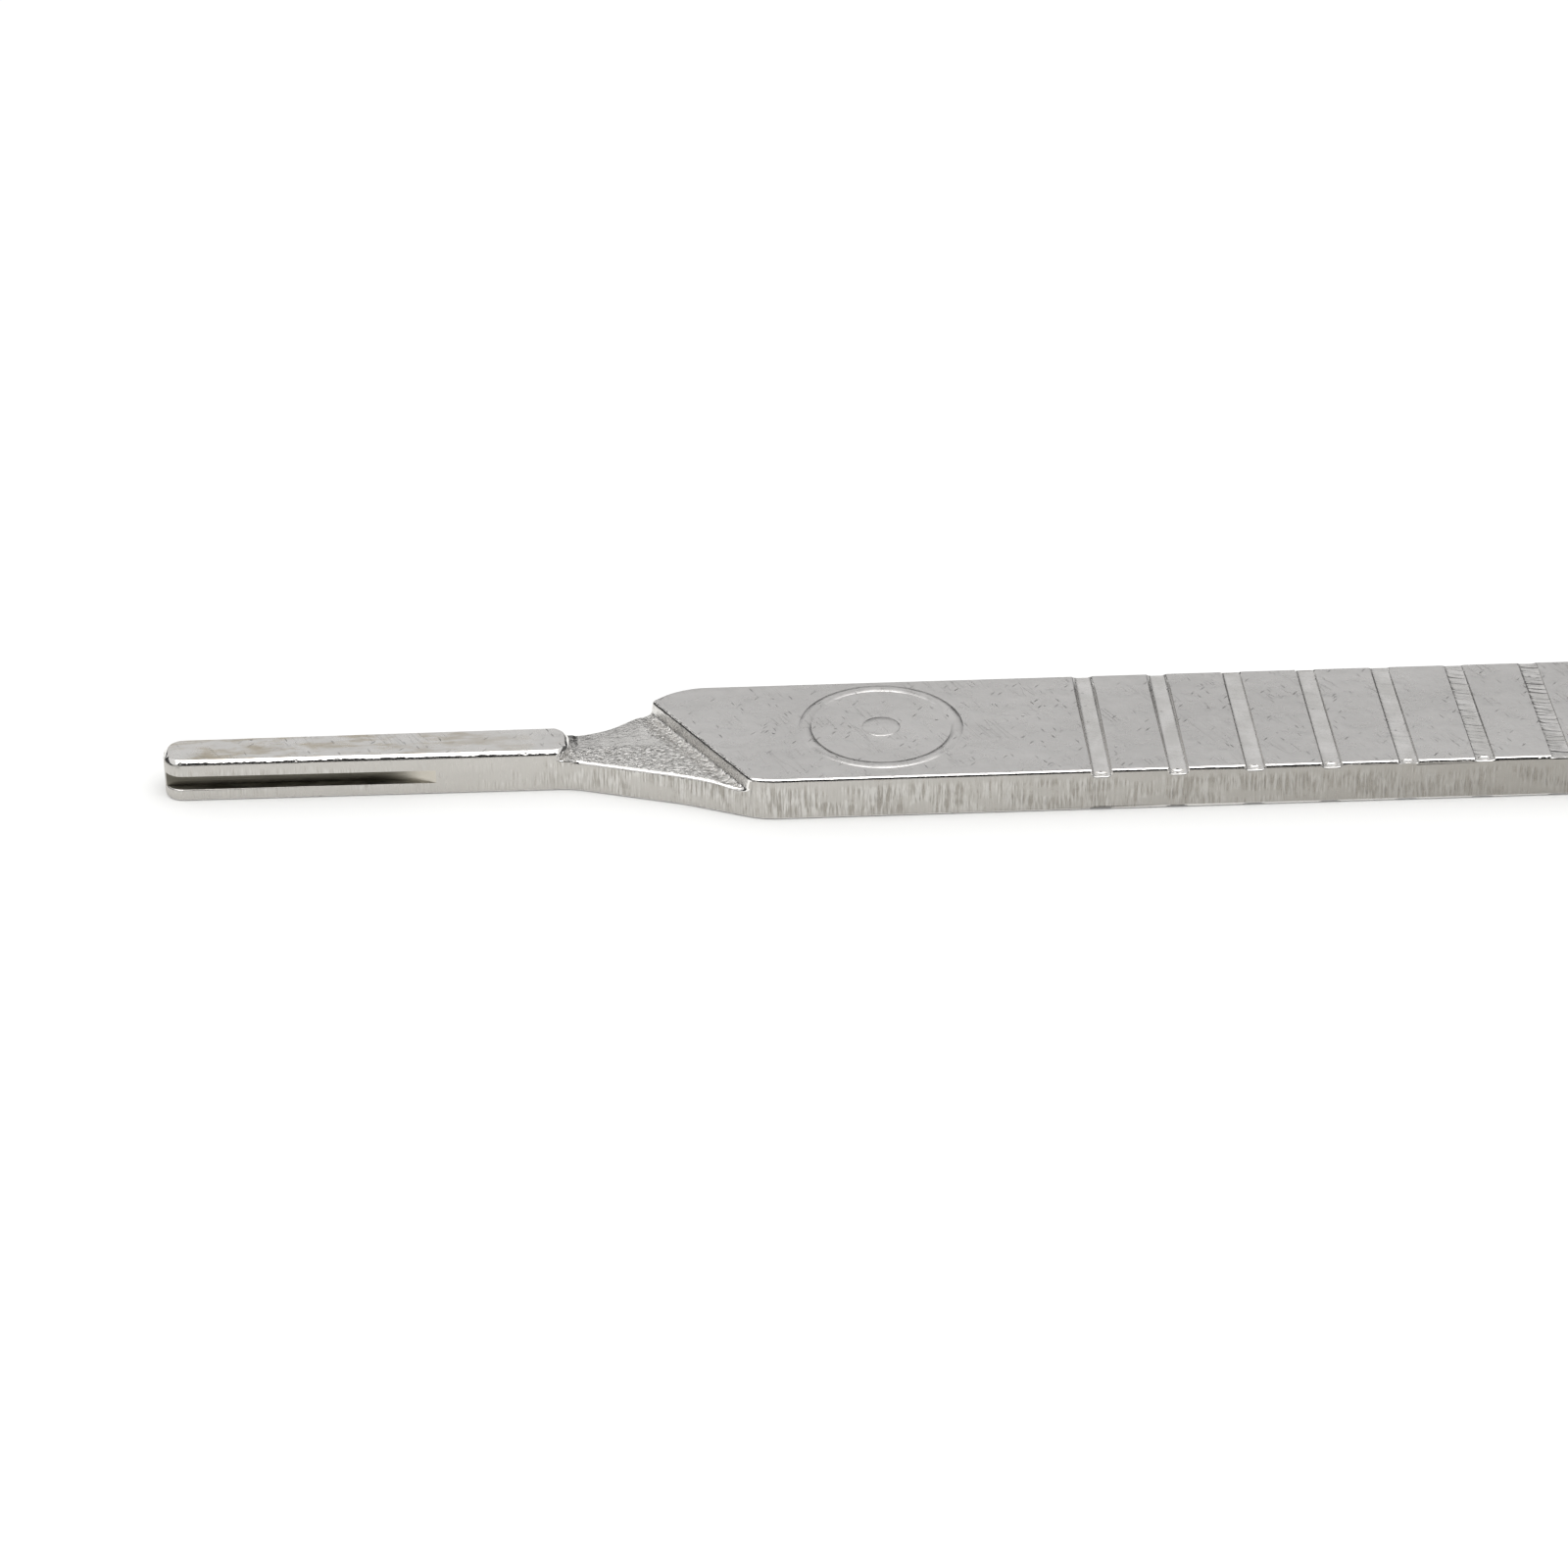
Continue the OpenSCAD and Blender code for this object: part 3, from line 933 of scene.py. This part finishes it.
def placeCamera():
    turn, tilt, roll = (math.radians(view[k]) for k in ("azimuth", "elevation", "roll"))
    back = Vector((math.sin(turn) * math.cos(tilt), -math.cos(turn) * math.cos(tilt), math.sin(tilt)))
    right = Vector((0, 0, 1)).cross(back).normalized()
    up = back.cross(right)
    across = right * math.cos(roll) + up * math.sin(roll)
    above = up * math.cos(roll) - right * math.sin(roll)
    pose = Matrix((across, above, back)).transposed().to_4x4()
    pose.translation = (point(*view["aim"]) + back * view["distance"]) * mm
    data = bpy.data.cameras.new("camera")
    data.lens = view["lens"]
    data.sensor_width = 36
    data.clip_start = 0.01
    camera = bpy.data.objects.new("camera", data)
    bpy.context.collection.objects.link(camera)
    camera.matrix_world = pose
    bpy.context.scene.camera = camera


placeCamera()

studio = {
    "room": "#d8d8d8",
    "roomStrength": 1.12,
    "boxStrength": 2.4,
}

world = bpy.data.worlds.new("studio")
bpy.context.scene.world = world
world.use_nodes = True
world.node_tree.nodes["Background"].inputs["Color"].default_value = colour(studio["room"])
world.node_tree.nodes["Background"].inputs["Strength"].default_value = studio["roomStrength"]


def areaLight(name, place, target, size, power):
    data = bpy.data.lights.new(name, "AREA")
    data.shape = "RECTANGLE"
    data.size, data.size_y = size
    data.energy = power
    light = bpy.data.objects.new(name, data)
    bpy.context.collection.objects.link(light)
    light.location = place
    light.rotation_euler = (Vector(target) - Vector(place)).to_track_quat("-Z", "Y").to_euler()
    return light


areaLight("overheadBox", (0.0, -0.122, 0.63), (0, 0, 0), (0.9, 0.545), studio["boxStrength"])


# Dark cards out of view: the metal mirrors them as the dark lines along its edges.
cards = {
    "front": ((0.0, -0.8, 0.58), (90, 0, 0), (0.9, 1.16), "#141414"),
    "left": ((-0.75, 0.0, 0.22), (90, 0, 90), (1.3, 0.44), "#404040"),
    "right": ((0.8, 0.0, 0.3), (90, 0, 90), (1.3, 0.6), "#606060"),
    "back": ((0.1, 0.9, 0.15), (90, -9, 0), (2.6, 0.34), "#404040"),
    "above": ((0.0, 0.42, 0.52), (40, 0, 0), (1.8, 0.26), "#303030"),
}


def darkCards():
    for name, (place, turn, size, shade) in cards.items():
        deselectAll()
        bpy.ops.mesh.primitive_plane_add(size=1)
        card = bpy.context.object
        card.name = name + "Card"
        bpy.ops.transform.resize(value=(size[0], size[1], 1))
        card.rotation_euler = [math.radians(t) for t in turn]
        card.location = place
        bpy.ops.object.transform_apply(location=True, rotation=True, scale=True)
        card.visible_camera = False
        card.visible_diffuse = False
        card.visible_shadow = False
        card.data.materials.append(plainMaterial(name + "Felt", shade))


darkCards()
bpy.context.scene.view_settings.view_transform = "Standard"
